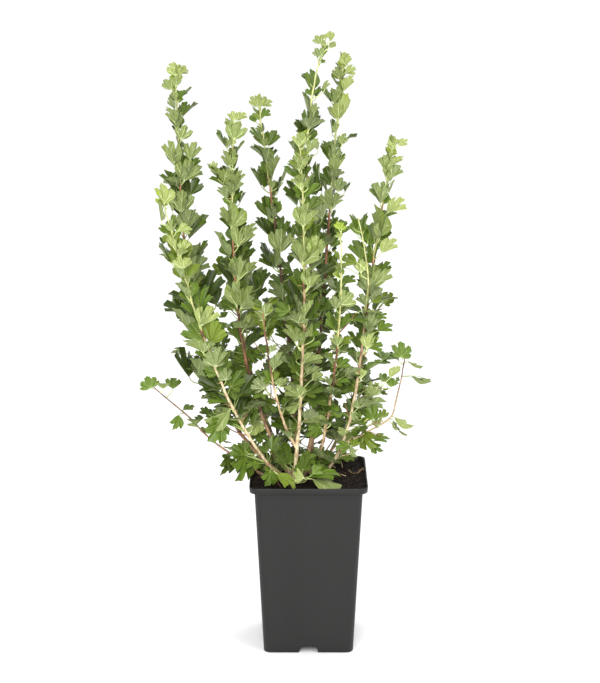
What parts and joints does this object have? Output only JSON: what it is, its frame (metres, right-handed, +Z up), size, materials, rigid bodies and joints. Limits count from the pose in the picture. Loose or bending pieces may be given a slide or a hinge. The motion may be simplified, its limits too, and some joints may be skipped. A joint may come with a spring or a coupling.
{
  "type": "gooseberry bush in a pot",
  "caption": "Upright young gooseberry bush: slim thorny shoots with lobed leaves from base to tip, rising from one foot in a deep square nursery pot.",
  "frame": {"origin": "centre of the flat underside of the pot, on the surface it stands on", "axes": "+Z up along the bush, -Y towards the front face of the pot, +X to the bush's right as seen from the front"},
  "size_m": [0.3796, 0.2626, 0.7865],
  "materials": {
    "pot_plastic": "satin black-grey injection moulded plastic, faintly brushed, glossy inside",
    "compost": "dark brown moist bark and peat crumb",
    "bark": "tan to red-brown young bark, straw-coloured low down and pale green at the tips, with thin spines",
    "leaf": "matt mid-green lobed leaves with paler grey-green undersides and pale veins, lime at the tips"
  },
  "bodies": {
    "root": {"pot": "pot_plastic", "compost": "compost", "stem_left_back": "bark", "stem_left_front": "bark", "stem_mid_left": "bark", "stem_centre_left_back": "bark", "stem_centre_front": "bark", "stem_centre_tall": "bark", "stem_centre_right_back": "bark", "stem_right": "bark", "stem_inner_right": "bark", "stem_inner_left": "bark", "stem_back_left": "bark", "stem_back_right": "bark", "branch_left_lateral": "bark", "branch_left_lateral_end": "bark", "branch_right_lateral": "bark", "branch_right_lateral_end": "bark", "low_leaves_left_back": "leaf", "middle_leaves_left_back": "leaf", "top_leaves_left_back": "leaf", "low_leaves_left_front": "leaf", "top_leaves_left_front": "leaf", "low_leaves_mid_left": "leaf", "middle_leaves_mid_left": "leaf", "top_leaves_mid_left": "leaf", "low_leaves_centre_left_back": "leaf", "middle_leaves_centre_left_back": "leaf", "top_leaves_centre_left_back": "leaf", "low_leaves_centre_front": "leaf", "middle_leaves_centre_front": "leaf", "top_leaves_centre_front": "leaf", "low_leaves_centre_tall": "leaf", "middle_leaves_centre_tall": "leaf", "top_leaves_centre_tall": "leaf", "low_leaves_centre_right_back": "leaf", "middle_leaves_centre_right_back": "leaf", "top_leaves_centre_right_back": "leaf", "low_leaves_right": "leaf", "middle_leaves_right": "leaf", "top_leaves_right": "leaf", "low_leaves_inner_right": "leaf", "top_leaves_inner_right": "leaf", "leaves_inner_left": "leaf", "leaves_back_left": "leaf", "leaves_back_right": "leaf", "leaves_left_lateral_low": "leaf", "leaves_left_lateral_tip": "leaf", "leaves_right_lateral_low": "leaf", "leaves_right_lateral_tip": "leaf", "leaves_right_side": "leaf", "leaves_foot_front": "leaf", "leaves_foot_back": "leaf"}
  },
  "joints": []
}
